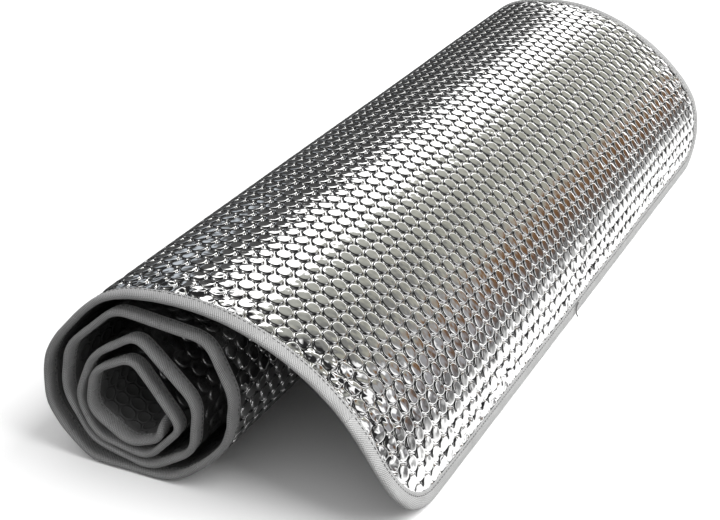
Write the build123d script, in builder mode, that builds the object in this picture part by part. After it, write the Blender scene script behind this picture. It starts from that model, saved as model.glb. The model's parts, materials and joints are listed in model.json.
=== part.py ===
from build123d import *
import math
import os

os.makedirs("parts", exist_ok=True)

# Rolled reflective foam sleeping pad, loosely rolled, with its free end laid
# over the roll like a flap and resting on the ground.
#
# The pad is one long sheet: a foil-faced bubble and foam laminate with a
# folded fabric tape sewn round its whole edge. Seen from the front end
# (looking along +Y) the sheet starts at the free edge on the ground at the
# right, climbs over the roll, goes down the left side, lies on the ground
# and then winds inwards for three more laps. The foil faces outwards.
#
# The sheet bends only on straight fold lines parallel to Y. Between two fold
# lines it is a flat stave: a panel of laminate and a length of edge tape at
# each side. The first and last staves carry the tape round the pad's ends too.
#
# Frame: millimetres, +Z up, +Y along the roll, origin on the ground at the
# middle of the roll's bounding box.

# ---------------------------------------------------------------- dimensions
PAD_WIDTH = 610.0        # across the pad, which is the length of the roll
THICK = 4.0              # laminate thickness, and thickness over the tape
TAPE_WIDTH = 9.5         # width of the edge tape on each face
TAPE_THICK = 0.3         # cloth thickness on each face of the laminate
TAPE_FOLD = 0.4          # cloth thickness round the cut edge
SEW_GAP = 0.02           # between tape and laminate
FOLD_GAP = 0.1           # each stave stops this far short of the fold plane
FOLD_ROUND = 1.2         # how far the outside of a fold is worn in
FREE_CORNER_R = 48.0     # corner radius at the free end
INNER_CORNER_R = 10.0    # corner radius at the end in the middle of the roll
MIN_CORNER_R = 0.5       # least radius of an outline set in from the edge
OVERRUN = 20.0           # how far an end outline runs past the stave's fold

# Fold lines on the foil face, as (x, z) in a section across the roll, from
# the free edge inwards. The first and last points are the pad's two ends.
FOLDS = [
    (150.4, 0.9), (140.1, 49.0), (104.0, 90.0), (44.0, 115.0),
    (-20.0, 109.0), (-62.1, 70.1), (-66.5, 28.0), (-38.0, 0.0),
    (13.0, 0.0), (49.4, 33.1), (57.2, 62.0), (42.3, 95.7),
    (-16.9, 101.6), (-50.4, 71.4), (-55.5, 42.1), (-38.1, 12.5),
    (0.4, 3.5), (29.9, 21.7), (33.8, 54.6), (-3.2, 89.1),
    (-34.7, 69.2), (-47.0, 39.5), (-35.2, 16.0), (-0.1, 9.6),
    (24.5, 35.9), (-6.4, 74.9), (-35.0, 60.0), (-39.9, 32.7),
    (-12.1, 15.1), (9.0, 24.0), (11.5, 38.5),
]
# Name of each lap and its number of staves, from the free edge inwards
LAPS = [("outer_lap", 8), ("second_lap", 8), ("third_lap", 7), ("inner_lap", 7)]

HALF_WIDTH = PAD_WIDTH / 2
COUNT = len(FOLDS) - 1
LAP_OF_STAVE = [lap for lap, staves in LAPS for _ in range(staves)]

# ------------------------------------------------------------ section layout
length, heading = [], []
for (x0, z0), (x1, z1) in zip(FOLDS[:-1], FOLDS[1:]):
    length.append(math.hypot(x1 - x0, z1 - z0))
    heading.append(math.atan2(z1 - z0, x1 - x0))

# bend[k] is the turn of the sheet at fold line k, zero at the pad's two ends
bend = [0.0] * (COUNT + 1)
for k in range(1, COUNT):
    bend[k] = (heading[k] - heading[k - 1]) % (2 * math.pi)


def stave_end(turn, top, bottom):
    """Corners of a stave at a fold of the given turn, as (distance from the
    fold line, depth): on the worn-in fold, where the flat face starts, and on
    the inner face. top and bottom are depths below the foil face."""
    half, quarter = math.tan(turn / 2), math.tan(turn / 4)
    gap = FOLD_GAP / math.cos(turn / 2)
    worn = FOLD_ROUND * (math.sin(turn / 2) + math.cos(turn / 2) / quarter)
    drop = top / math.cos(turn / 4)
    fold_x = (gap + half * (drop + worn * quarter)) / (1 + half * quarter)
    fold_depth = drop + (worn - fold_x) * quarter
    flat_x = worn + (drop - top) / quarter
    return [(fold_x, fold_depth), (flat_x, top), (gap + bottom * half, bottom)]


def section(i, inset=0.0):
    """Section of stave i in its own axes: x along the sheet from its first
    fold line, y inwards from the foil face. inset thins it on both faces."""
    top, bottom = inset, THICK - inset

    def corners(turn):
        # a pad end, which has no turn, is cut square
        return stave_end(turn, top, bottom) if turn else [(0.0, top), (0.0, bottom)]

    first = corners(bend[i])
    last = [(length[i] - x, y) for x, y in corners(bend[i + 1])]
    # last[-2::-1] takes the outer corners of the far end, flat face first
    return first[:-1] + last[-2::-1] + [last[-1], first[-1]]


across = [
    FOLDS[i][0] + x * math.cos(heading[i]) - y * math.sin(heading[i])
    for i in range(COUNT) for x, y in section(i)
]
MID_X = (min(across) + max(across)) / 2


def section_plane(i, y):
    """Plane across the roll at y, with x along the sheet and y inwards. It
    faces -Y, so a positive extrusion runs towards the front of the roll."""
    along = (math.cos(heading[i]), 0, math.sin(heading[i]))
    return Plane(origin=(FOLDS[i][0] - MID_X, y, FOLDS[i][1]), x_dir=along, z_dir=(0, -1, 0))


def sheet_plane(i):
    """Plane on the foil face of stave i: x along the sheet, y across it and
    z inwards."""
    along = (math.cos(heading[i]), 0, math.sin(heading[i]))
    inwards = (-math.sin(heading[i]), 0, math.cos(heading[i]))
    return Plane(origin=(FOLDS[i][0] - MID_X, 0, FOLDS[i][1]), x_dir=along, z_dir=inwards)


def save(part, i, piece):
    """Label a piece of stave i and write its STEP file."""
    name = f"{LAP_OF_STAVE[i]}_{piece}_{i + 1:02d}"
    part.label = name
    export_step(part, f"parts/{name}.step")


# -------------------------------------------------- staves between two folds
def middle_panel(i):
    """Laminate, full thickness between the tapes and pinched inside them."""
    full, tongue = section(i), section(i, TAPE_THICK + SEW_GAP)
    with BuildPart() as panel:
        for profile, margin in ((full, TAPE_WIDTH + SEW_GAP), (tongue, TAPE_FOLD + SEW_GAP)):
            with BuildSketch(section_plane(i, HALF_WIDTH - margin)):
                with BuildLine():
                    Polyline(*profile, close=True)
                make_face()
            extrude(amount=PAD_WIDTH - 2 * margin)
    return panel.part


def middle_tape(i):
    """Tape folded over both side edges."""
    full, core = section(i), section(i, TAPE_THICK)
    with BuildPart() as tape:
        for profile, margin, mode in ((full, 0.0, Mode.ADD), (core, TAPE_FOLD, Mode.SUBTRACT)):
            with BuildSketch(section_plane(i, HALF_WIDTH - margin)):
                with BuildLine():
                    Polyline(*profile, close=True)
                make_face()
            extrude(amount=TAPE_WIDTH, mode=mode)
        mirror(about=Plane.XZ)
    return tape.part


# ------------------------------------------------ staves at the pad's two ends
def end_body(i, profile, *trims):
    """Profile run across the pad, then trimmed by rounded outlines in the
    sheet. Each trim is (inset from the pad's edge, mode)."""
    free = i == 0
    corner = FREE_CORNER_R if free else INNER_CORNER_R
    with BuildPart() as body:
        with BuildSketch(section_plane(i, HALF_WIDTH)):
            with BuildLine():
                Polyline(*profile, close=True)
            make_face()
        extrude(amount=PAD_WIDTH)
        for inset, mode in trims:
            # the outline runs past the fold at the stave's other end
            start = inset if free else -OVERRUN
            stop = length[i] + OVERRUN if free else length[i] - inset
            with BuildSketch(sheet_plane(i)) as outline:
                with Locations(((start + stop) / 2, 0)):
                    Rectangle(stop - start, PAD_WIDTH - 2 * inset)
                end_corners = outline.vertices().group_by(Axis.X)[0 if free else -1]
                fillet(end_corners, max(corner - inset, MIN_CORNER_R))
            extrude(amount=THICK, mode=mode)
    return body.part


def end_panel(i):
    """Laminate inside the tape's inner edge, with the thin edge it pinches."""
    face = end_body(i, section(i), (TAPE_WIDTH + SEW_GAP, Mode.INTERSECT))
    tongue = section(i, TAPE_THICK + SEW_GAP)
    pinched_edge = end_body(i, tongue, (TAPE_FOLD + SEW_GAP, Mode.INTERSECT))
    with BuildPart() as panel:
        add(face)
        add(pinched_edge)
    return panel.part


def end_tape(i):
    """One length of tape: along one side, round the end and back."""
    band = end_body(i, section(i), (0.0, Mode.INTERSECT), (TAPE_WIDTH, Mode.SUBTRACT))
    tape_inside = end_body(i, section(i, TAPE_THICK), (TAPE_FOLD, Mode.INTERSECT))
    with BuildPart() as tape:
        add(band)
        add(tape_inside, mode=Mode.SUBTRACT)
    return tape.part


# -------------------------------------------------------------------- pieces
for i in range(COUNT):
    at_pad_end = i in (0, COUNT - 1)
    save(end_panel(i) if at_pad_end else middle_panel(i), i, "pad_panel")
    save(end_tape(i) if at_pad_end else middle_tape(i), i, "edge_tape")
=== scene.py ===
# A foil-faced bubble pad bound with sewn edge tape, rolled up in four laps about the Y axis and
# resting on the ground. The section lies in XZ: the free edge of the outer flap is at the +X
# side, and the sheet runs from it over the top, round the -X side and along the ground inwards.
# Near means -Y and far means +Y. The camera stands near, above and to the +X side.
import json
import math

import bpy
import numpy as np
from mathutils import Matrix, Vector


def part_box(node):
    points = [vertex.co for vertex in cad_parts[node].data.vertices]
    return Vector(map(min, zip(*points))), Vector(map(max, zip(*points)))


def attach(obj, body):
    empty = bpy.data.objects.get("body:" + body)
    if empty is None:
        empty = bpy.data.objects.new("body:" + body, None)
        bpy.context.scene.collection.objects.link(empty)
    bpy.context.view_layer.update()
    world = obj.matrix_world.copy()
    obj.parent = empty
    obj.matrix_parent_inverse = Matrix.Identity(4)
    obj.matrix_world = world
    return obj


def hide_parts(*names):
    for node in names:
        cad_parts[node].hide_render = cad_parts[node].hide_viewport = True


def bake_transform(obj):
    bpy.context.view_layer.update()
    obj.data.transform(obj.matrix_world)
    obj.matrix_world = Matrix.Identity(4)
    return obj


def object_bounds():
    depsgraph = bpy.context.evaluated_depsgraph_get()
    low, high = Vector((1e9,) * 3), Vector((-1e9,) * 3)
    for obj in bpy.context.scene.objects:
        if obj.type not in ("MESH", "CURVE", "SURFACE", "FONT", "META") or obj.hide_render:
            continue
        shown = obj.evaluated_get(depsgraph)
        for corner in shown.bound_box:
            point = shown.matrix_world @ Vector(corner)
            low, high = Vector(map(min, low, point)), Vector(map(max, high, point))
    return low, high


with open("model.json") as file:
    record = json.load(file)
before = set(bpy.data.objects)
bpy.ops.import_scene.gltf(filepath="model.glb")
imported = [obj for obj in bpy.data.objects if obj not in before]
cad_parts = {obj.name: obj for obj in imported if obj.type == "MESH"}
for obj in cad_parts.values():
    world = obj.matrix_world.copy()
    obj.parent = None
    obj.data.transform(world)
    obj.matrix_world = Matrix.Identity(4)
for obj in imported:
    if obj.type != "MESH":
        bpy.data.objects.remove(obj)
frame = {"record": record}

first_lo, first_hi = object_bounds()

# Lengths are in millimetres and become metres when a mesh is made. A point of the sheet is
# given by s (along it from the free edge), y (across it from the middle) and its depth below
# the outer face. Its margin is its distance inside the pad's outline.
MM = 0.001
LO = np.array(first_lo) * 1000.0
HI = np.array(first_hi) * 1000.0
HALF = (HI[1] - LO[1]) / 2.0            # half the pad's width
MID_Y = (HI[1] + LO[1]) / 2.0
RIGHT, GROUND = HI[0], LO[2]
THICK = 4.0                             # laminate thickness
COUNT = 30                              # hinged staves in the CAD
FREE_R, INNER_R = 52.0, 10.0            # corner radii at the free edge and at the inner end
END_DROP = 0.68                         # inner end of the curve below the top of its tape

# ---------------------------------------------------- the CAD's staves and fold lines
bodies, panels, tapes = {}, {}, {}
for body, parts in frame["record"]["behaviour"]["bodies"].items():
    number = int(body[-2:])
    bodies[number] = body
    for part in parts:
        (panels if "pad_panel" in part else tapes)[number] = part

FOLDS = np.zeros((COUNT + 1, 2))        # x, z of the pad's two ends and the folds between
for joint in frame["record"]["behaviour"]["joints"]:
    FOLDS[int(joint["name"][-2:])] = np.array([joint["pos_m"][0], joint["pos_m"][2]]) * 1000.0
free_lo, free_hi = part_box(tapes[1])
_, inner_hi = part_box(tapes[COUNT])
first_run = FOLDS[1] - np.array([free_hi[0] * 1000, 0.0])
first_run = first_run / np.linalg.norm(first_run)
FOLDS[0] = (free_hi[0] * 1000, free_lo[2] * 1000 + THICK * abs(first_run[0]))
FOLDS[COUNT] = (inner_hi[0] * 1000, inner_hi[2] * 1000 - END_DROP)

# ---------------------------------------------------------------- the rolled section
# Outer face of the outer lap: (distance to -X of the free edge, height above the ground)
OUTER = [
    (0.0, 0.9), (0.8, 10), (2.6, 22), (6.1, 35), (11.4, 47), (18.9, 58.5), (27.9, 69.3),
    (38.4, 79.5), (51.4, 89.5), (66.4, 98.6), (82.4, 105.8), (100.4, 111.3), (120.4, 114.1),
    (141.4, 114.0), (160.4, 111.4), (175.4, 105.8), (187.4, 96.5), (198.4, 85), (208.4, 73),
    (214.7, 61), (217.0, 46), (216.2, 31), (208.4, 17.6), (197.4, 6.8), (189.4, 1.4),
    (181.4, 0.1), (160.4, 0.1), (142.4, 0.3), (131.4, 3.6), (119.4, 12.0), (108.4, 22.3),
    (100.6, 32.5), (96.0, 45.0)]
FIRST_INNER_FOLD = 10                   # from here the curve follows the CAD's folds
FOLD_ROUND = 10.0                       # most that a fold's rounding reaches along a stave
ROUGH_STEP, CURVE_STEP = 0.5, 0.25      # spacing of curve points before and after smoothing
SMOOTHING = ([0, 330, 420, 1400], [3.0, 3.0, 1.3, 1.3])     # s, smoothing radius


def blend_points(p, q, t_p, t_q, t):
    return (t_q - t) / (t_q - t_p) * p + (t - t_p) / (t_q - t_p) * q


def catmull(points, steps):
    """Centripetal Catmull-Rom curve through the points."""
    points = np.asarray(points, float)
    ext = np.vstack([2 * points[0] - points[1], points, 2 * points[-1] - points[-2]])
    curve = []
    for i in range(1, len(ext) - 2):
        p0, p1, p2, p3 = ext[i - 1:i + 3]
        t0 = 0.0
        t1 = t0 + np.linalg.norm(p1 - p0) ** 0.5
        t2 = t1 + np.linalg.norm(p2 - p1) ** 0.5
        t3 = t2 + np.linalg.norm(p3 - p2) ** 0.5
        for t in np.linspace(t1, t2, steps, endpoint=False):
            a1 = blend_points(p0, p1, t0, t1, t)
            a2 = blend_points(p1, p2, t1, t2, t)
            a3 = blend_points(p2, p3, t2, t3, t)
            b1 = blend_points(a1, a2, t0, t2, t)
            b2 = blend_points(a2, a3, t1, t3, t)
            curve.append(blend_points(b1, b2, t1, t2, t))
    curve.append(points[-1])
    return np.array(curve)


def run_along(points):
    return np.r_[0, np.cumsum(np.hypot(*np.diff(points, axis=0).T))]


def resample(points, step):
    """Points evenly spaced along a path, and their distances along it."""
    run = run_along(points)
    s = np.linspace(0, run[-1], int(round(run[-1] / step)) + 1)
    return np.stack([np.interp(s, run, points[:, 0]), np.interp(s, run, points[:, 1])], 1), s


def smooth_path(points, sigma, step):
    """Gaussian smoothing with its own radius at each point."""
    reach = int(4 * max(sigma) / step)
    ext = np.vstack([2 * points[0] - points[reach:0:-1], points,
                     2 * points[-1] - points[-2:-reach - 2:-1]])
    offset = np.arange(-reach, reach + 1) * step
    smooth = points.copy()
    for i in range(len(points)):
        weight = np.exp(-0.5 * (offset / sigma[i]) ** 2)
        smooth[i] = (ext[i:i + 2 * reach + 1] * (weight / weight.sum())[:, None]).sum(0)
    return smooth


def section_curve():
    """The outer lap's drawn curve, then straight staves joined by rounded folds."""
    inner = []
    for k in range(FIRST_INNER_FOLD, COUNT):
        before, after = FOLDS[k] - FOLDS[k - 1], FOLDS[k + 1] - FOLDS[k]
        len_before, len_after = np.linalg.norm(before), np.linalg.norm(after)
        reach = min(FOLD_ROUND, 0.42 * min(len_before, len_after))
        p0 = FOLDS[k] - reach * before / len_before
        p1 = FOLDS[k] + reach * after / len_after
        for t in np.linspace(0, 1, 9):
            inner.append((1 - t) ** 2 * p0 + 2 * t * (1 - t) * FOLDS[k] + t * t * p1)
    inner.append(FOLDS[COUNT])
    outer = catmull([(RIGHT - dx, GROUND + z) for dx, z in OUTER], 10)
    points, s = resample(np.vstack([outer, np.array(inner)]), ROUGH_STEP)
    points = smooth_path(points, np.interp(s, *SMOOTHING), ROUGH_STEP)
    return resample(points, CURVE_STEP)


CURVE, RUN = section_curve()
LENGTH = RUN[-1]
TANGENT = np.gradient(CURVE, axis=0)
TANGENT /= np.linalg.norm(TANGENT, axis=1)[:, None]
INWARD = np.stack([-TANGENT[:, 1], TANGENT[:, 0]], 1)      # points into the roll
CURVE_COLUMNS = np.hstack([CURVE, TANGENT, INWARD]).T


def stave_middles():
    """Where each stave's middle falls along the curve, searched for in order."""
    search_reach, search_advance = 700, 20      # curve points
    found, start = {}, 0
    for k in range(1, COUNT):
        middle = (FOLDS[k - 1] + FOLDS[k]) / 2
        window = CURVE[start:start + search_reach]
        i = start + int(np.argmin(np.linalg.norm(window - middle, axis=1)))
        found[k] = RUN[i]
        start = i + search_advance
    return found


CUT_S = stave_middles()                 # the pad is cut into pieces at these s


def waves(a, b, seed, scale):
    """Smooth noise of about unit size, the same each time."""
    draw = np.random.default_rng(seed)
    total = 0.0
    for _ in range(7):
        freq = draw.normal(0, 1, 2) / scale
        total = total + np.sin(a * freq[0] + b * freq[1] + draw.uniform(0, 6.283))
    return total / 2.6


def bell(value, centre, width):
    return np.exp(-((value - centre) / width) ** 2)


def share_across(y):
    """0 at the near side, 1 at the far side."""
    return (y + HALF) / (2 * HALF)


def to_roll(s, y, depth):
    """Sheet coordinates to the rolled pad."""
    on_curve = np.clip(s, 0, LENGTH)
    over = s - on_curve
    x, z, tan_x, tan_z, in_x, in_z = (np.interp(on_curve, RUN, column)
                                      for column in CURVE_COLUMNS)
    x = x + over * tan_x
    z = z + over * tan_z
    share = share_across(y)
    # the crest stands proud at its far end
    lift = 0.7 * bell(s, 205, 85) * share ** 1.5
    # the flap twists: in at the near end, out at the far end
    lift = lift + 1.4 * (2 * share - 1) * bell(s, 52, 34)
    # gentle unevenness over flap and crest
    lift = lift + 0.3 * waves(s, y, seed=5, scale=60.0) * bell(s, 150, 120)
    depth = depth - np.where(s < 380, lift, 0.0)
    return np.stack([x + in_x * depth, y + MID_Y,
                     np.maximum(z + in_z * depth, GROUND + 0.02)], -1)


def inside(s, y):
    """Margin of a point of the sheet, and the direction inwards from the outline."""
    from_end = np.minimum(s, LENGTH - s)
    from_side = HALF - np.abs(y)
    sign_s = np.where(s < LENGTH / 2, 1.0, -1.0)
    sign_y = -np.sign(y)
    radius = np.where(s < LENGTH / 2, FREE_R, INNER_R)
    u, v = radius - from_end, radius - from_side
    dist = np.hypot(u, v)
    corner = (u > 0) & (v > 0)
    margin = np.where(corner, radius - dist, np.minimum(from_end, from_side))
    dist = np.maximum(dist, 1e-6)
    in_s = np.where(corner, u / dist, np.where(from_end < from_side, 1.0, 0.0)) * sign_s
    in_y = np.where(corner, v / dist, np.where(from_end < from_side, 0.0, 1.0)) * sign_y
    return margin, in_s, in_y


# -------------------------------------------------------------------- making meshes
def build(name, xyz, quads, tris, sheet, tone, materials, slots=None, sharp=None):
    """A Blender mesh from arrays, wound so that its volume is positive.
    sheet is (along, across, depth) per vertex; sharp is pairs of vertices."""
    face_count = len(quads) + len(tris)
    if slots is None:
        slots = np.zeros(face_count)
    centre = xyz.mean(0)
    q, t = xyz[quads] - centre, xyz[tris] - centre
    volume = 0.0
    for a, b, c in ((q[:, 0], q[:, 1], q[:, 2]), (q[:, 0], q[:, 2], q[:, 3]),
                    (t[:, 0], t[:, 1], t[:, 2])):
        volume += np.einsum("ij,ij->i", a, np.cross(b, c)).sum()
    if volume < 0:
        quads, tris = quads[:, ::-1], tris[:, ::-1]

    mesh = bpy.data.meshes.new(name)
    mesh.vertices.add(len(xyz))
    mesh.vertices.foreach_set("co", (xyz * MM).astype(np.float32).ravel())
    loops = np.concatenate([quads.ravel(), tris.ravel()]).astype(np.int32)
    mesh.loops.add(len(loops))
    mesh.loops.foreach_set("vertex_index", loops)
    mesh.polygons.add(face_count)
    starts = np.concatenate([np.arange(len(quads)) * 4,
                             len(quads) * 4 + np.arange(len(tris)) * 3]).astype(np.int32)
    mesh.polygons.foreach_set("loop_start", starts)
    mesh.polygons.foreach_set("material_index", slots.astype(np.int32))
    mesh.polygons.foreach_set("use_smooth", np.ones(face_count, bool))
    mesh.update(calc_edges=True)
    mesh.validate()

    attribute = mesh.attributes.new("sheet", "FLOAT_VECTOR", "POINT")
    attribute.data.foreach_set("vector", sheet.astype(np.float32).ravel())
    attribute = mesh.attributes.new("tone", "FLOAT", "POINT")
    attribute.data.foreach_set("value", tone.astype(np.float32))
    if sharp is not None:
        ends = np.zeros(len(mesh.edges) * 2, np.int32)
        mesh.edges.foreach_get("vertices", ends)
        ends = np.sort(ends.reshape(-1, 2), 1).astype(np.int64)
        sharp = np.sort(sharp, 1)
        base = len(xyz) + 1             # makes one number of each pair of vertices
        flags = np.isin(ends[:, 0] * base + ends[:, 1], sharp[:, 0] * base + sharp[:, 1])
        attribute = mesh.attributes.new("sharp_edge", "BOOLEAN", "EDGE")
        attribute.data.foreach_set("value", flags)
    ob = bpy.data.objects.new(name, mesh)
    bpy.context.scene.collection.objects.link(ob)
    for material in materials:
        mesh.materials.append(material)
    return ob


def tube_faces(stations, sides, start):
    """Quads along a closed tube and the triangles of its two ends."""
    grid = np.arange(stations * sides).reshape(stations, sides) + start
    ahead = np.roll(grid, -1, axis=1)
    quads = np.stack([grid[:-1], ahead[:-1], ahead[1:], grid[1:]], -1).reshape(-1, 4)
    a, b = grid[0], grid[-1]
    tris = [(a[0], a[i + 1], a[i]) for i in range(1, sides - 1)]
    tris += [(b[0], b[i], b[i + 1]) for i in range(1, sides - 1)]
    return quads, np.array(tris)


# ------------------------------------------------------------------ bubble laminate
PITCH = 10.3                            # between bubbles across the sheet
EDGE_GAP = 1.0                          # between the lattice and the sheet's ends
N_ROWS = int((LENGTH - 2 * EDGE_GAP) // 8.92)
ROW = (LENGTH - 2 * EDGE_GAP) / N_ROWS  # between rows of bubbles
H_BUBBLE = 1.1

# Rings of a cell, from the middle out: (radius, share of the bubble's height)
FOIL_FINE = [(2.2, 1.0), (3.6, 0.985), (4.12, 0.92), (4.42, 0.76), (4.63, 0.45), (4.78, 0.14),
             (4.92, 0.0)]
FOIL_PLAIN = [(3.4, 1.0), (4.2, 0.90), (4.62, 0.45), (4.9, 0.0)]
# The same for the inner film: (radius, rise in mm)
LINER_RINGS = [(3.7, 0.02), (4.2, 0.24), (4.55, 0.30), (4.85, 0.04)]

LEAST_MARGIN = 0.9                      # the laminate stops this far inside the outline
SEAM_MARGIN = 9.55                      # the foil is pressed down out to here, under the tape
SEAM_DEPTH = 0.95

rng = np.random.default_rng(11)


def row_cells(row):
    """Centres of the cells of one row, every other row shifted by half a pitch."""
    s = EDGE_GAP + (row + 0.5) * ROW
    y = (np.arange(59) - 29 if row % 2 == 0 else np.arange(58) - 28.5) * PITCH
    margin, _, _ = inside(np.full(len(y), s), y)
    return np.stack([np.full(len(y), s), y], 1)[margin > 1.0]


def hexagon(sides):
    """Boundary of a lattice cell at evenly spread directions, from its centre, in (s, y)."""
    angles = np.arange(sides) * 2 * math.pi / sides
    points = []
    for a in angles:
        local = (a + math.pi / 6) % (math.pi / 3) - math.pi / 6
        radius = (PITCH / 2) / math.cos(local)
        points.append((radius * math.sin(a), radius * math.cos(a)))
    points = np.array(points)
    points[:, 0] *= ROW / (PITCH * math.sqrt(3) / 2)
    return angles, points


def crease_strength(s, y, margin):
    """How strongly the foil is creased at a point of the sheet."""
    share = share_across(y)
    # puckers beside the seam, stronger and weaker along it, fading into the sheet
    puckers = 0.75 * bell(margin, 14, 15.0) * (0.65 + 0.35 * np.sin(s / 17.0 + y / 29.0))
    falloff = 0.07 * np.exp(-np.maximum(margin - 9, 0) / 30.0)
    # a slanting patch on the flap, the flap's edge, and its near side
    patch = 0.16 * bell(s + 60 * (share - 0.55), 128, 15.0) * bell(share, 0.55, 0.16)
    edge = 0.14 * bell(s, 34, 28.0) * (1.0 - 0.6 * share)
    near_side = 0.16 * bell(s, 70, 34.0) * bell(share, 0, 0.16)
    everywhere = 0.012
    return puckers + falloff + everywhere + patch + edge + near_side


def settle(sheet, depth, is_foil):
    """Keeps the laminate inside the outline, pinches it under the tape and creases the foil."""
    margin, in_s, in_y = inside(sheet[:, 0], sheet[:, 1])
    push = np.maximum(LEAST_MARGIN - margin, 0)
    sheet = sheet + np.stack([in_s, in_y], 1) * push[:, None]
    s, y = sheet.T
    margin = np.maximum(margin, LEAST_MARGIN)
    # bubbles are squashed by the seam and reach full height 7 mm further in
    free = np.clip((margin - 9.3) / 7.0, 0, 1)
    free = free * free * (3 - 2 * free)
    foil = H_BUBBLE - (H_BUBBLE - depth) * (0.62 + 0.38 * free)
    ripple = (0.5 + 0.7 * waves(s, y, seed=21, scale=2.1)
              + 0.8 * waves(s, y, seed=22, scale=4.6))
    beyond_tape = np.clip((margin - 9.6) / 2.5, 0, 1)
    foil = foil + crease_strength(s, y, margin) * ripple * beyond_tape
    foil = np.clip(foil, 0.0, 2.6)
    seam = np.where(margin < SEAM_MARGIN, SEAM_DEPTH, SEAM_DEPTH * (1 - free) * 0.6)
    foil = np.maximum(foil, seam)
    liner = np.minimum(depth, np.where(margin < 9.6, 3.05, THICK + 0.4))
    return sheet, np.where(is_foil, foil, liner)


def foil_rings(cells, angles, direction, rings):
    """Sheet points and depths of the bubbles' rings from the rim in, and of their tops."""
    tilt = rng.normal(0, 1, (len(cells), 2))
    margin, _, _ = inside(cells[:, 0], cells[:, 1])
    worn = 0.5 + 1.7 * np.exp(-np.maximum(margin - 9, 0) / 16.0)    # least regular by the seam
    tilt *= (np.radians(1.05) * worn)[:, None]
    sink = np.abs(rng.normal(0, 0.035, len(cells))) * worn
    size = 1 + rng.normal(0, 0.008, len(cells))
    points, depths = [], []
    for radius, height in rings[::-1]:
        points.append(cells[:, None, :] + direction[None] * (radius * size)[:, None, None])
        cap = np.clip((height - 0.2) / 0.7, 0, 1)       # only the cap tilts, sinks and puckers
        slope = (direction[None] * tilt[:, None, :]).sum(-1) * radius * cap
        depth = H_BUBBLE - H_BUBBLE * height + 0.03 + sink[:, None] * cap + slope
        pucker = np.sin(3 * angles[None] + tilt[:, :1] * 900)
        depths.append(depth + 0.05 * cap * pucker * (radius / 4))
    return points, depths, sink + 0.01


def side_faces(corners, corner_count, start, ring_count, flip):
    """Faces of all cells on one side of the laminate, from the shared rim in to the centre."""
    cell_count, sides = corners.shape
    ahead = np.roll(np.arange(sides), -1)
    grid = np.arange(corners.size).reshape(corners.shape) + start + corner_count
    loops = [corners + start] + [grid + i * corners.size for i in range(ring_count)]
    quads = []
    for outer, inner in zip(loops[:-1], loops[1:]):
        if flip:
            outer, inner = outer[:, ::-1], inner[:, ::-1]
        quads.append(np.stack([outer, outer[:, ahead], inner[:, ahead], inner], -1))
    first, second = loops[-1], loops[-1][:, ahead]
    if flip:
        first, second = second, first
    centres = np.arange(cell_count) + start + corner_count + ring_count * corners.size
    tris = np.stack([first, second, np.repeat(centres[:, None], sides, 1)], -1)
    return np.vstack([q.reshape(-1, 4) for q in quads]), tris.reshape(-1, 3)


def laminate(name, rows, fine):
    """A piece of laminate on some lattice rows: bubbled foil outside, dark film inside."""
    sides = 24 if fine else 12
    angles, cell_rim = hexagon(sides)
    direction = np.stack([np.sin(angles), np.cos(angles)], 1)
    cells = np.vstack([row_cells(row) for row in rows])
    count = len(cells)

    # rim points, shared between neighbouring cells; points within 0.02 mm are one
    rims = (cells[:, None, :] + cell_rim[None]).reshape(-1, 2)
    key = np.round(rims * 50).astype(np.int64)
    _, first, corners = np.unique(key, axis=0, return_index=True, return_inverse=True)
    corners = corners.reshape(count, sides)
    shared = rims[first]

    foil_points, foil_depths, top_depth = foil_rings(
        cells, angles, direction, FOIL_FINE if fine else FOIL_PLAIN)
    liner_points = [cells[:, None, :] + direction[None] * r for r, _ in LINER_RINGS[::-1]]
    liner_depths = [np.full(count * sides, THICK + rise) for _, rise in LINER_RINGS[::-1]]
    sheet, depth, cell_id = [], [], []
    for points, depths, rim_depth, centre_depth in (
            (foil_points, foil_depths, H_BUBBLE, top_depth),
            (liner_points, liner_depths, THICK, np.full(count, THICK - 0.05))):
        sheet += [shared, *[p.reshape(-1, 2) for p in points], cells]
        depth += [np.full(len(shared), rim_depth), *[d.ravel() for d in depths], centre_depth]
        cell_id += [np.full(len(shared), -1)]
        cell_id += [np.repeat(np.arange(count), sides)] * len(points) + [np.arange(count)]
    cell_id = np.concatenate(cell_id)
    liner_start = len(shared) + len(foil_points) * corners.size + count
    sheet, depth = settle(np.vstack(sheet), np.concatenate(depth),
                          np.arange(len(cell_id)) < liner_start)

    foil_quads, foil_tris = side_faces(corners, len(shared), 0, len(foil_points), False)
    liner_quads, liner_tris = side_faces(corners, len(shared), liner_start,
                                         len(liner_points), True)
    # the wall round the piece stands on edges that belong to one cell only
    edges = set(zip(corners.ravel().tolist(), np.roll(corners, -1, axis=1).ravel().tolist()))
    border = np.array([(a, b) for a, b in edges if (b, a) not in edges])
    wall = np.stack([border[:, 1], border[:, 0],
                     border[:, 0] + liner_start, border[:, 1] + liner_start], -1)
    slots = np.repeat([0, 1, 0, 1], [len(foil_quads), len(liner_quads) + len(wall),
                                     len(foil_tris), len(liner_tris)])
    tone = np.where(cell_id >= 0, rng.uniform(0, 1, count + 1)[cell_id], 0.5)
    return build(name, to_roll(sheet[:, 0], sheet[:, 1], depth),
                 np.vstack([foil_quads, liner_quads, wall]), np.vstack([foil_tris, liner_tris]),
                 np.column_stack([sheet, depth]), tone, (FOIL, LINER), slots,
                 sharp=np.vstack([border, border + liner_start]))


# ------------------------------------------------------------------------ edge tape
PATH_STEP = 0.75
STITCH_MARGIN, STITCH_PITCH = 7.5, 3.0

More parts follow.
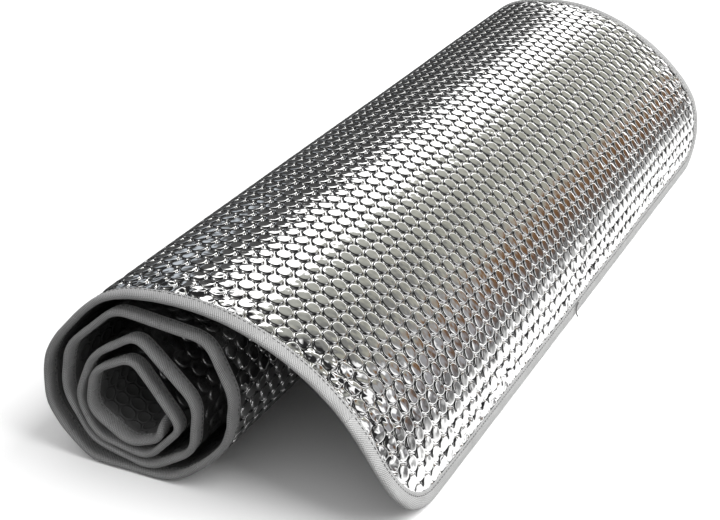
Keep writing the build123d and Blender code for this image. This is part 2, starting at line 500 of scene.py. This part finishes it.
# The folded tape's section: (margin, depth). The outer face runs from the foil leg round the
# edge to the liner leg, and the inner face runs back.
OUT_PROFILE = [
    (9.5, 0.78), (9.35, 0.50), (8.9, 0.34), (8.2, 0.36), (7.5, 0.50), (6.8, 0.34), (5.8, 0.14),
    (4.4, 0.02), (3.0, 0.0), (1.9, 0.10), (1.05, 0.42), (0.42, 0.95), (0.1, 1.5), (0.0, 2.0),
    (0.1, 2.5), (0.42, 3.05), (1.05, 3.58), (1.9, 3.9), (3.0, 4.0), (4.4, 3.98), (5.8, 3.86),
    (6.8, 3.66), (7.5, 3.50), (8.2, 3.64), (8.9, 3.66), (9.35, 3.50), (9.5, 3.24)]
IN_PROFILE = [
    (9.3, 3.14), (7.5, 3.08), (5.8, 3.34), (3.0, 3.48), (1.7, 3.34), (0.9, 2.8), (0.6, 2.0),
    (0.9, 1.2), (1.7, 0.66), (3.0, 0.52), (5.8, 0.66), (7.5, 0.92), (9.3, 0.90)]
PROFILE = np.array(OUT_PROFILE + IN_PROFILE)

# A stitch: (place along it, thread radius, drop into the tape)
STITCH_STATIONS = [
    (-1.08, 0.05, 0.35), (-0.95, 0.2, 0.12), (-0.5, 0.27, -0.06), (0.0, 0.29, -0.10),
    (0.5, 0.27, -0.06), (0.95, 0.2, 0.12), (1.08, 0.05, 0.35)]


# A path is its (s, y) points, the directions inwards and the distances along the tape.
def side_path(side, s_from, s_to):
    """Straight stretch of the outline; side is -1 for near, 1 for far."""
    count = max(3, int(round((s_to - s_from) / PATH_STEP)) + 1)
    s = np.linspace(s_from, s_to, count)
    points = np.stack([s, np.full(count, side * HALF)], 1)
    return points, np.tile([0.0, -side], (count, 1)), s


def end_path(radius, reach):
    """Round one end of the sheet from near to far, with s measured from that end."""
    leg_count = max(3, int(round((reach - radius) / PATH_STEP)) + 1)
    leg = np.linspace(reach, radius, leg_count)[:-1]
    arc_count = max(8, int(round(radius * math.pi / 2 / PATH_STEP)))
    angles = np.linspace(0, math.pi / 2, arc_count + 1)[:-1]
    sin, cos = np.sin(angles), np.cos(angles)
    across_count = int(round((2 * HALF - 2 * radius) / PATH_STEP))
    across = np.linspace(-HALF + radius, HALF - radius, across_count + 1)[:-1]
    zeros, ones = np.zeros, np.ones
    s = np.r_[leg, radius - radius * sin, zeros(across_count), radius - radius * cos,
              np.linspace(radius, reach, leg_count)]
    y = np.r_[-HALF * ones(len(leg)), -HALF + radius - radius * cos, across,
              HALF - radius + radius * sin, HALF * ones(leg_count)]
    in_s = np.r_[zeros(len(leg)), sin, ones(across_count), cos, zeros(leg_count)]
    in_y = np.r_[ones(len(leg)), cos, zeros(across_count), -sin, -ones(leg_count)]
    return np.stack([s, y], 1), np.stack([in_s, in_y], 1)


def free_end_path(s_to):
    points, inward = end_path(FREE_R, s_to)
    run = run_along(points)
    return points, inward, run - run[-1] + s_to


def inner_end_path(s_from):
    points, inward = end_path(INNER_R, LENGTH - s_from)
    points[:, 0] = LENGTH - points[:, 0]
    inward[:, 0] *= -1
    return points, inward, run_along(points) + s_from


def cap_triangles():
    """Triangles across the tape's cut end, as places in PROFILE."""
    outer_last, inner_last = len(OUT_PROFILE) - 1, len(IN_PROFILE) - 1
    inner = np.arange(len(OUT_PROFILE), len(PROFILE))[::-1]
    tris = []
    a = b = 0
    while a < outer_last or b < inner_last:
        if a < outer_last and (b == inner_last or a / outer_last <= b / inner_last):
            tris.append((a, a + 1, inner[b]))
            a += 1
        else:
            tris.append((a, inner[b + 1], inner[b]))
            b += 1
    return np.array(tris)


def tape(name, paths):
    """Folded tape along the given stretches of the outline, each a closed strip."""
    xyz, quads, tris, sheet, tone = [], [], [], [], []
    size = len(PROFILE)
    is_outer = (np.arange(size) < len(OUT_PROFILE))[None]
    around = run_along(PROFILE)
    cap = cap_triangles()
    start = 0
    for points, inward, run in paths:
        count = len(points)
        margin = np.repeat(PROFILE[None, :, 0], count, 0)
        depth = np.repeat(PROFILE[None, :, 1], count, 0)
        q = run[:, None]
        on_foil = depth < THICK / 2
        # the two edges of the tape wander, each its own way
        wander = 0.22 * np.sin(q / 23.0 + 1.0) + 0.16 * np.sin(q / 8.7)
        legs = np.clip((margin - 3.0) / 6.0, 0, 1)
        margin = margin + legs * np.where(on_foil, wander, -0.7 * wander)
        # cloth puffs up between stitches and is drawn down at each one
        pull = np.cos(q * 2 * math.pi / STITCH_PITCH) * bell(margin, STITCH_MARGIN, 1.5)
        gather = (0.06 * pull + 0.05 * np.sin(q / 6.1 + margin)
                  + 0.035 * np.sin(q / 2.3 + 2 * margin))
        gather = gather * np.where(is_outer, 1.0, 0.4)
        depth = depth + np.where(on_foil, gather + 0.02, -gather - 0.02)
        # the folded edge ripples
        on_edge = np.abs(depth - THICK / 2) < 1.2
        margin = margin + np.where(on_edge, 0.05 * np.sin(q / 3.1) * is_outer, 0.0)
        margin = np.maximum(margin, 0.0)
        s = points[:, None, 0] + inward[:, None, 0] * margin
        y = points[:, None, 1] + inward[:, None, 1] * margin
        xyz.append(to_roll(s.ravel(), y.ravel(), depth.ravel()))
        sheet.append(np.column_stack([np.repeat(run, size), np.tile(around, count),
                                      depth.ravel()]))
        tone.append(np.tile(is_outer.astype(float).ravel(), count))
        grid = np.arange(count * size).reshape(count, size) + start
        ahead = np.roll(grid, -1, axis=1)
        strip = np.stack([grid[:-1], grid[1:], ahead[1:], ahead[:-1]], -1)
        quads.append(strip.reshape(-1, 4))
        tris += [grid[0][cap], grid[-1][cap][:, ::-1]]
        start += count * size
    return build(name, np.vstack(xyz), np.vstack(quads), np.vstack(tris), np.vstack(sheet),
                 np.concatenate(tone), (TAPE,))


def stitches(name, paths):
    """Machine stitches through the tape on both faces."""
    sides = 6
    angles = np.arange(sides) * 2 * math.pi / sides
    vertices, quads, tris = [], [], []
    start = 0
    for points, inward, run in paths:
        columns = np.hstack([points, inward]).T
        first = math.ceil((run[0] + 1.2) / STITCH_PITCH) * STITCH_PITCH
        for centre in np.arange(first, run[-1] - 1.1, STITCH_PITCH):
            for face in (0, 1):         # foil, liner
                skew = 0.12 * math.sin(centre * 12.9 + face)
                for offset, radius, drop in STITCH_STATIONS:
                    s, y, in_s, in_y = (np.interp(centre + offset, run, c) for c in columns)
                    margin = STITCH_MARGIN + radius * np.cos(angles) + skew * offset
                    depth = 0.42 + drop + 0.75 * radius * np.sin(angles)
                    if face == 1:
                        depth = THICK - depth
                    vertices.append(np.stack([s + in_s * margin, y + in_y * margin, depth], 1))
                tube_quads, tube_tris = tube_faces(len(STITCH_STATIONS), sides, start)
                if face == 1:
                    tube_quads, tube_tris = tube_quads[:, ::-1], tube_tris[:, ::-1]
                quads.append(tube_quads)
                tris.append(tube_tris)
                start += len(STITCH_STATIONS) * sides
    sheet = np.vstack(vertices)
    return build(name, to_roll(*sheet.T), np.vstack(quads), np.vstack(tris), sheet,
                 np.full(len(sheet), 0.5), (THREAD,))


def thread_tail():
    """A loose end of thread hanging over the tape at the free edge."""
    stations, sides = 40, 7
    root_s, root_y, root_depth = 7.0, -HALF + 288.0, -0.3
    # Bezier control points from the root, x, y, z
    control = np.array([(0.0, 0.0, 0.0), (1.0, -10.0, 0.8), (1.3, -9.6, -3.2),
                        (2.8, -8.2, -6.0)])
    t = np.linspace(0, 1, stations)
    weights = ((1 - t) ** 3, 3 * t * (1 - t) ** 2, 3 * t * t * (1 - t), t ** 3)
    centre = to_roll(*(np.full(1, value) for value in (root_s, root_y, root_depth)))[0]
    for weight, point in zip(weights, control):
        centre = centre + np.outer(weight, point)
    centre[:, 2] = np.maximum(centre[:, 2], GROUND + 0.45)
    radius = 0.4 * np.ones(stations)
    radius[0], radius[-1] = 0.3, 0.15

    along = np.gradient(centre, axis=0)
    along /= np.linalg.norm(along, axis=1)[:, None]
    across = np.cross(along, np.array([0.1, 0.05, 1.0]))
    across /= np.linalg.norm(across, axis=1)[:, None]
    up = np.cross(across, along)
    angles = np.arange(sides) * 2 * math.pi / sides
    circle = (across[:, None, :] * np.cos(angles)[None, :, None]
              + up[:, None, :] * np.sin(angles)[None, :, None])
    xyz = (centre[:, None, :] + radius[:, None, None] * circle).reshape(-1, 3)
    sheet = np.column_stack([np.repeat(t * 20, sides), np.tile(angles, stations),
                             np.zeros(len(xyz))])
    ob = build("thread_tail", xyz, *tube_faces(stations, sides, 0), sheet,
               np.full(len(xyz), 0.5), (THREAD,))
    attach(ob, bodies[1])


# ------------------------------------------------------------------- shader helpers
def rgb(value):
    return (value,) * 3 if isinstance(value, (int, float)) else value


def display(value):
    """Display grey or colour (0..255) to linear."""
    return tuple((c / 255 / 12.92) if c / 255 <= 0.04045 else ((c / 255 + 0.055) / 1.055) ** 2.4
                 for c in rgb(value))


class Shader:
    """Adds nodes to an emptied node tree. Inputs take either a value or a socket to link."""

    def __init__(self, tree):
        self.tree = tree
        tree.nodes.clear()

    def add(self, kind, inputs=(), **settings):
        node = self.tree.nodes.new("ShaderNode" + kind)
        for name, value in settings.items():
            setattr(node, name, value)
        for key, value in dict(inputs).items():
            if isinstance(value, bpy.types.NodeSocket):
                self.tree.links.new(value, node.inputs[key])
            else:
                node.inputs[key].default_value = value
        return node

    def maths(self, operation, *values):
        return self.add("Math", enumerate(values), operation=operation).outputs[0]

    def plus(self, a, b):
        return self.maths("ADD", a, b)

    def times(self, a, b):
        return self.maths("MULTIPLY", a, b)

    def ramp(self, fac, stops, mode="LINEAR"):
        """Colour ramp; a stop is (position, linear grey or colour)."""
        node = self.add("ValToRGB", {0: fac})
        node.color_ramp.interpolation = mode
        elements = node.color_ramp.elements
        while len(elements) > 1:
            elements.remove(elements[-1])
        elements[0].position, elements[0].color = stops[0][0], (*rgb(stops[0][1]), 1)
        for position, colour in stops[1:]:
            elements.new(position).color = (*rgb(colour), 1)
        return node.outputs[0]

    def map_range(self, value, source=(0, 1), target=(0, 1)):
        return self.add("MapRange", {
            "Value": value, "From Min": source[0], "From Max": source[1],
            "To Min": target[0], "To Max": target[1]}).outputs[0]

    def noise(self, vector, scale, detail=2.0):
        inputs = {"Vector": vector, "Scale": scale, "Detail": detail}
        return self.add("TexNoise", inputs, noise_dimensions="3D").outputs["Fac"]

    def bump(self, height, strength, distance):
        inputs = {"Height": height, "Strength": strength, "Distance": distance}
        return self.add("Bump", inputs).outputs[0]

    def attribute(self, name):
        return self.add("Attribute", attribute_name=name).outputs

    def split(self, vector):
        return self.add("SeparateXYZ", {0: vector}).outputs

    def mix_colours(self, fac, a, b, blend_type="MIX"):
        return self.add("Mix", {0: fac, 6: a, 7: b}, data_type="RGBA",
                        blend_type=blend_type).outputs[2]

    def mix_shaders(self, fac, a, b):
        return self.add("MixShader", {0: fac, 1: a, 2: b}).outputs[0]

    def background(self, colour, strength=1.0):
        return self.add("Background", {"Color": colour, "Strength": strength}).outputs[0]

    def surface(self, inputs):
        bsdf = self.add("BsdfPrincipled", inputs)
        self.add("OutputMaterial", {"Surface": bsdf.outputs[0]})


def new_material(name):
    material = bpy.data.materials.new(name)
    material.use_nodes = True
    return material, Shader(material.node_tree)


# ------------------------------------------------------------------------ materials
def foil_material():
    """Mirror film, a little different from bubble to bubble."""
    material, sh = new_material("mirror_foil")
    sheet = sh.attribute("sheet")["Vector"]
    tone = sh.attribute("tone")["Fac"]
    fine = sh.noise(sheet, scale=0.55, detail=3.0)
    grain = sh.noise(sheet, scale=2.6)
    colour = sh.ramp(sh.plus(sh.times(tone, 0.5), sh.times(fine, 0.5)), [
        (0.2, (0.86, 0.86, 0.855)), (0.5, (0.93, 0.93, 0.925)), (0.8, 0.97)])
    sh.surface({"Base Color": colour, "Metallic": 1.0,
                "Roughness": sh.map_range(grain, source=(0.3, 0.7), target=(0.02, 0.07)),
                "Normal": sh.bump(fine, strength=0.22, distance=0.00008)})
    return material


def liner_material():
    """Charcoal film with soft blotches and a fine grain."""
    material, sh = new_material("charcoal_film")
    sheet = sh.attribute("sheet")["Vector"]
    blotches = sh.noise(sheet, scale=0.05, detail=4.0)
    grain = sh.noise(sheet, scale=1.8, detail=3.0)
    sh.surface({"Base Color": sh.ramp(blotches, [(0.3, display(76)), (0.7, display(88))]),
                "Roughness": sh.map_range(grain, target=(0.42, 0.62)),
                "Specular IOR Level": 0.35,
                "Normal": sh.bump(grain, strength=0.3, distance=0.00012)})
    return material


def tape_material():
    """Grey woven tape: ribs across it, a fine slanting twill, and painted light and shade along
    the laps.
    """
    material, sh = new_material("woven_edge_tape")
    sheet = sh.attribute("sheet")["Vector"]
    parts = sh.split(sheet)
    along, around = parts[0], parts[1]

    def threads(across, other, slant, pitch):
        """Sine wave across threads that slant towards the other direction."""
        place = sh.plus(across, sh.times(other, slant))
        return sh.maths("SINE", sh.times(place, 2 * math.pi / pitch))

    twill = threads(along, around, slant=0.55, pitch=1.15)
    warp = threads(around, along, slant=-0.12, pitch=0.95)
    weave = sh.plus(sh.times(twill, 0.65), sh.times(warp, 0.35))
    weave = sh.plus(sh.times(weave, 0.5), 0.5)          # to 0..1
    blotches = sh.noise(sheet, scale=0.09, detail=5.0)
    fuzz = sh.noise(sheet, scale=2.2)
    fac = sh.plus(sh.times(weave, 0.45), sh.times(fuzz, 0.40))
    fac = sh.plus(fac, sh.times(blotches, 0.2))
    colour = sh.ramp(fac, [(0.2, display(74)), (0.45, display(124)), (0.75, display(160))])
    # painted light at the free edge and painted shade on the laps inside: the tape is palest at
    # the free edge and darker on the laps inside; positions are metres along the sheet
    falloff = sh.ramp(sh.times(along, 0.001), [
        (0.0, (1.38, 1.38, 1.37)), (0.10, (1.28, 1.28, 1.27)), (0.21, 0.92), (0.32, 0.80)],
        mode="EASE")
    relief = sh.plus(weave, sh.times(fuzz, 0.4))
    sh.surface({"Base Color": sh.mix_colours(1.0, colour, falloff, blend_type="MULTIPLY"),
                "Roughness": sh.map_range(fuzz, target=(0.75, 0.95)),
                "Sheen Weight": 0.25, "Sheen Roughness": 0.5, "Specular IOR Level": 0.3,
                "Normal": sh.bump(relief, strength=0.8, distance=0.00022)})
    return material


def thread_material():
    """Grey thread with a twisted ply."""
    material, sh = new_material("sewing_thread")
    sheet = sh.attribute("sheet")["Vector"]
    parts = sh.split(sheet)
    twist = sh.plus(parts[0], sh.times(parts[1], 2.0))
    ply = sh.maths("SINE", sh.times(twist, 9.0))
    fuzz = sh.noise(sheet, scale=1.5)
    colour = sh.ramp(sh.plus(sh.times(ply, 0.2), fuzz), [(0.2, display(70)), (0.9, display(122))])
    sh.surface({"Base Color": colour,
                "Roughness": sh.map_range(fuzz, target=(0.6, 0.8)),
                "Normal": sh.bump(ply, strength=0.6, distance=0.00008)})
    return material


FOIL, LINER, TAPE, THREAD = foil_material(), liner_material(), tape_material(), thread_material()

# ------------------------------------------------------------------ build each piece
# Piece k runs from the middle of stave k to the middle of stave k + 1 and bends at fold k.
# The first and last pieces also take in the pad's ends.
LAPS = ["outer_lap"] * 8 + ["second_lap"] * 8 + ["third_lap"] * 7 + ["inner_lap"] * 6
LAST_FINE = 9                           # pieces up to this one have finely modelled bubbles
row_start = {k: int(round((CUT_S[k] - EDGE_GAP) / ROW)) for k in range(2, COUNT)}
row_start[1], row_start[COUNT] = 0, N_ROWS


def build_piece(k):
    lap = LAPS[k - 1]
    foil = laminate(f"{lap}_laminate_{k:02d}", range(row_start[k], row_start[k + 1]),
                    fine=k <= LAST_FINE)
    if k == 1:
        paths = [free_end_path(CUT_S[2])]
    elif k == COUNT - 1:
        paths = [inner_end_path(CUT_S[k])]
    else:
        paths = [side_path(side, CUT_S[k], CUT_S[k + 1]) for side in (-1, 1)]
    binding = tape(f"{lap}_edge_tape_{k:02d}", paths)
    seam = stitches(f"{lap}_stitching_{k:02d}", paths)

    for ob in (foil, binding, seam):
        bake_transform(ob)
    staves = [k, COUNT] if k == COUNT - 1 else [k]
    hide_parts(*[panels[n] for n in staves])
    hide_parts(*[tapes[n] for n in staves])


for piece in range(1, COUNT):
    build_piece(piece)
thread_tail()


# --------------------------------------------------------------------------- studio
def floor_material():
    """Pale floor that shows the foil a painted reflection, mostly dark, and that turns white far
    away.
    """
    material, sh = new_material("pale_floor")
    position = sh.add("NewGeometry").outputs["Position"]
    parts = sh.split(position)
    path = sh.add("LightPath").outputs
    glossy, diffuse = path["Is Glossy Ray"], path["Is Diffuse Ray"]
    pale = sh.add("BsdfPrincipled", {"Base Color": (0.9, 0.9, 0.9, 1), "Roughness": 0.9,
                                     "Specular IOR Level": 0.0}).outputs[0]
    # painted shade: to bounced rays, glossy and diffuse, the floor is darker, so little light
    # comes back up off the floor onto the roll
    dim = sh.add("BsdfDiffuse", {"Color": (0.28, 0.28, 0.28, 1)}).outputs[0]
    floor = sh.mix_shaders(sh.maths("MAXIMUM", diffuse, glossy), pale, dim)

    # painted reflection: to glossy rays the floor glows dark on the -X side of the roll and
    # white, then grey, on the +X side, and faintly in front of the roll's near end; ramp
    # positions are (x + 1) / 2 with x in metres
    across = sh.times(sh.plus(parts[0], 1.0), 0.5)
    beside = sh.ramp(across, [(0.0, 1), (0.44, 1), (0.446, 0), (0.553, 0), (0.557, 1)])
    painted_floor_reflection = sh.ramp(across, [
        (0.0, display(78)), (0.445, display(80)), (0.5, 1.3), (0.59, 1.3),
        (0.625, display(205)), (0.68, display(165)), (0.80, display(118))])
    in_front = sh.maths("LESS_THAN", parts[1], (LO[1] - 3) * MM)
    strength = sh.map_range(parts[1], source=((LO[1] - 12) * MM, (LO[1] - 2) * MM),
                            target=(0.05, 1.0))
    mirrored = sh.add("Emission", {"Color": painted_floor_reflection, "Strength": strength}).outputs[0]
    floor = sh.mix_shaders(sh.times(sh.maths("MAXIMUM", beside, in_front), glossy),
                           floor, mirrored)

    # away from the roll the floor runs into the white of the studio
    distance = sh.add("VectorMath", {0: position}, operation="LENGTH").outputs["Value"]
    haze = sh.map_range(distance, source=(0.55, 1.3))
    white = sh.add("Emission").outputs[0]
    floor = sh.mix_shaders(sh.times(haze, path["Is Camera Ray"]), floor, white)
    sh.add("OutputMaterial", {"Surface": floor})
    return material


def build_floor():
    half, z = 30, GROUND * MM - 0.0002
    material = floor_material()
    mesh = bpy.data.meshes.new("floor")
    mesh.from_pydata([(-half, -half, z), (half, -half, z), (half, half, z), (-half, half, z)],
                     [], [(0, 1, 2, 3)])
    floor = bpy.data.objects.new("floor", mesh)
    mesh.materials.append(material)
    bpy.context.scene.collection.objects.link(floor)


build_floor()

# What the foil mirrors round the roll: (degrees from +X over +Z, display level), for directions
# towards the far end and towards the near end
WHITE = "white"                         # brighter than display white
FAR_SKY = [
    (0, (84, 78, 76)), (9, (106, 92, 84)), (15, (102, 80, 66)), (22, (112, 84, 60)),
    (30, (124, 98, 74)), (36, (158, 146, 132)), (42, (168, 166, 154)), (60, (165, 165, 154)),
    (75, (170, 169, 159)), (86, (180, 180, 171)), (94.5, (190, 190, 182)), (97, WHITE),
    (124.5, WHITE), (127.5, 82), (134, 72), (150, 66), (178, 60), (215, 70), (270, 190),
    (300, WHITE), (338, WHITE), (346, 200), (352, 140), (358, 100)]
NEAR_SKY = [
    (0, (112, 110, 112)), (9, (160, 159, 163)), (22, (150, 149, 151)), (30, (170, 172, 174)),
    (38, (138, 137, 136)), (50, (127, 127, 125)), (64, (128, 128, 125)), (75, (154, 155, 149)),
    (86, (173, 174, 167)), (96, (180, 181, 174)), (98.5, WHITE), (125.5, WHITE), (128.5, 84),
    (143, 82), (166, 78), (190, 78), (215, 70), (270, 190), (300, WHITE), (335, WHITE),
    (343, 190), (352, 150)]


def mirrored_sky(sh, y, z, turn):
    """Colour the foil sees; turn is the direction round the roll as a share of a circle."""
    def sky(table):
        return sh.ramp(turn, [(angle / 360.0, 2.0 if level == WHITE else display(level))
                              for angle, level in table])

    def window(angle_stops, y_stops):
        """Mask over a range of directions round the roll and of y."""
        return sh.times(sh.ramp(turn, [(angle / 360.0, v) for angle, v in angle_stops]),
                        sh.ramp(y, y_stops))

    nearness = sh.map_range(y, source=(0.845, 0.775))
    colour = sh.mix_colours(nearness, sky(FAR_SKY), sky(NEAR_SKY))
    # a pale bluish patch up on the -X side
    patch = window([(143, 0), (148, 0.8), (157, 0.8), (164, 0)],
                   [(0.60, 1), (0.762, 1), (0.785, 0)])
    colour = sh.mix_colours(patch, colour, (*display((212, 219, 227)), 1))
    # bright straight along +Y
    ahead = sh.map_range(y, source=(0.93, 0.95))
    colour = sh.mix_colours(ahead, colour, (1.9, 1.9, 1.9, 1))
    # dark square to the roll, easing towards -Y; positions are (y + 1) / 2
    dark = sh.ramp(sh.times(sh.plus(y, 1.0), 0.5), [
        (0.0, 0.3), (0.10, 0.35), (0.18, 0.82), (0.30, 0.96), (0.50, 1), (0.74, 1), (0.85, 0)])
    colour = sh.mix_colours(dark, colour, (0.022, 0.022, 0.023, 1))
    # a bright card low on the +X side
    card = window([(2, 0), (10, 1), (40, 1), (56, 0)],
                  [(0.40, 0), (0.47, 1), (0.66, 1), (0.715, 0)])
    return sh.mix_colours(card, colour, (1.1, 1.1, 1.1, 1))


def build_world():
    """White to the camera, a drawn sky to the foil and a soft fill to everything else."""
    world = bpy.data.worlds.new("studio")
    bpy.context.scene.world = world
    world.use_nodes = True
    sh = Shader(world.node_tree)
    white = (1, 1, 1, 1)
    x, y, z = sh.split(sh.add("TexCoord").outputs["Generated"])
    turn = sh.plus(sh.maths("ARCTAN2", z, x), 2 * math.pi)
    turn = sh.maths("DIVIDE", sh.maths("MODULO", turn, 2 * math.pi), 2 * math.pi)

    # the sky is half as bright after several bounces
    depth = sh.add("LightPath").outputs["Ray Depth"]
    loss = sh.times(sh.maths("GREATER_THAN", depth, 2.5), 0.5)
    glossy = sh.background(mirrored_sky(sh, y, z, turn), sh.maths("SUBTRACT", 1.0, loss))
    # fill from above and from the near side, over a weak even level
    above = sh.times(sh.maths("MAXIMUM", z, 0.0), 0.80)
    near = sh.maths("MAXIMUM", sh.maths("SUBTRACT", -0.45, y), 0.0)
    fill = sh.background(white, sh.plus(sh.plus(above, sh.times(near, 1.15)), 0.17))

    path = sh.add("LightPath").outputs
    lit = sh.mix_shaders(path["Is Glossy Ray"], fill, glossy)
    lit = sh.mix_shaders(path["Is Camera Ray"], lit, sh.background(white))
    sh.add("OutputWorld", {"Surface": lit})


build_world()


def place(name, data, location, direction):
    """Adds a light or camera that looks along a direction."""
    ob = bpy.data.objects.new(name, data)
    bpy.context.scene.collection.objects.link(ob)
    ob.location = location
    ob.rotation_mode = "QUATERNION"
    ob.rotation_quaternion = Vector(direction).to_track_quat("-Z", "Y")
    return ob


KEY_PLACE, KEY_TARGET = (1.6, 0.15, 1.75), (0, 0, 0.05)     # metres
key_light = bpy.data.lights.new("key", "AREA")
key_light.shape = "SQUARE"
key_light.size = 2.4
key_light.energy = 96
key = place("key", key_light, KEY_PLACE, Vector(KEY_TARGET) - Vector(KEY_PLACE))
key.visible_glossy = False
key.visible_camera = False

camera_data = bpy.data.cameras.new("camera")
camera_data.lens = 75.0
camera_data.sensor_width = 36.0
camera_data.clip_start, camera_data.clip_end = 0.05, 50.0
camera = place("camera", camera_data,
               ((RIGHT + 254.6) * MM, (LO[1] - 569.6) * MM, (GROUND + 466.0) * MM),
               (-0.3929, 0.8101, -0.4352))
scene = bpy.context.scene
scene.camera = camera
scene.view_settings.view_transform = "Standard"
scene.view_settings.look = "None"
